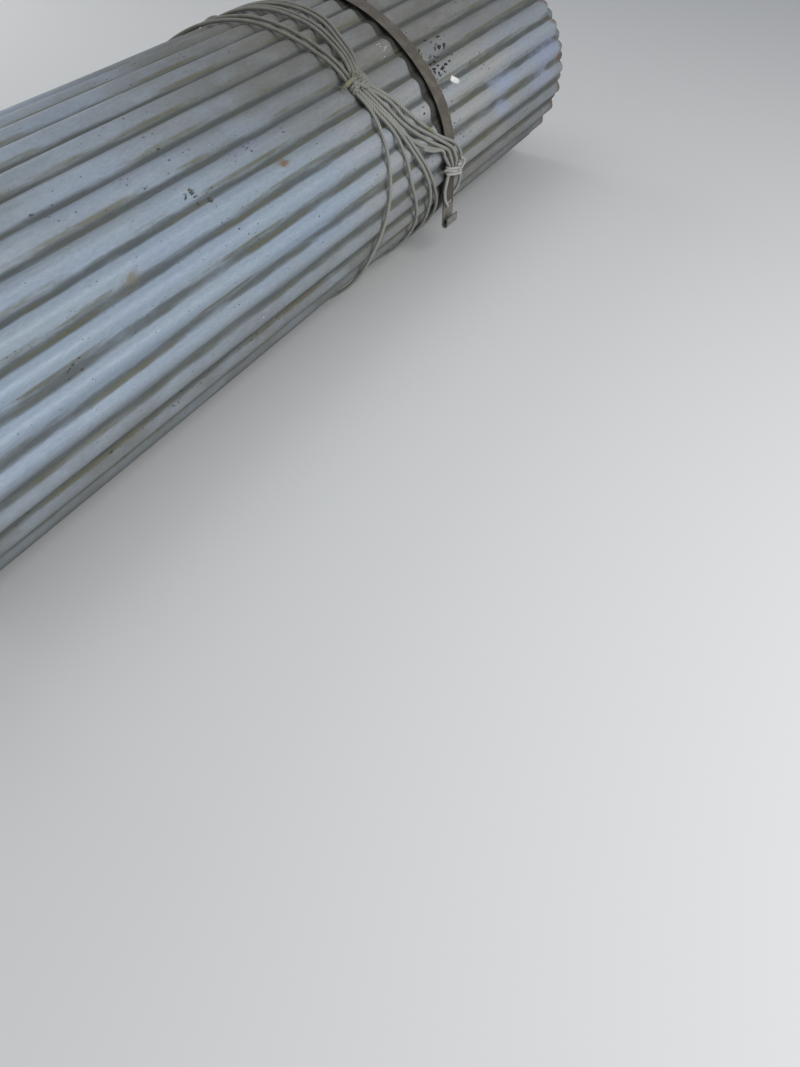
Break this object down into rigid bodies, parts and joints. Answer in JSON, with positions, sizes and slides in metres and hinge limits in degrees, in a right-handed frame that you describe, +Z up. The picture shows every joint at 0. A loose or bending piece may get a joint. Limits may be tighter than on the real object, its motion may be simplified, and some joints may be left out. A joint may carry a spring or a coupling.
{
  "type": "corrugated metal sheet",
  "caption": "Galvanised corrugated steel sheet curled into a long oval roll with open ends, held by a webbing strap with a flat hook and by turns of rope drawn into a knot.",
  "frame": {"origin": "middle of the roll's footprint, on the floor under the middle of its length", "axes": "+X along the roll and its corrugations, towards the end nearest the ties; +Z up; -Y towards the side that carries the strap's hook and the rope's knot"},
  "size_m": [3, 1.064, 0.7647],
  "materials": {
    "galvanised_sheet": "dull",
    "webbing": "matte",
    "rope": "matte",
    "hook_steel": "dull"
  },
  "bodies": {
    "root": {"corrugated_sheet": "galvanised_sheet", "webbing_strap": "webbing", "tie_rope": "rope", "strap_hook": "hook_steel"}
  },
  "joints": []
}
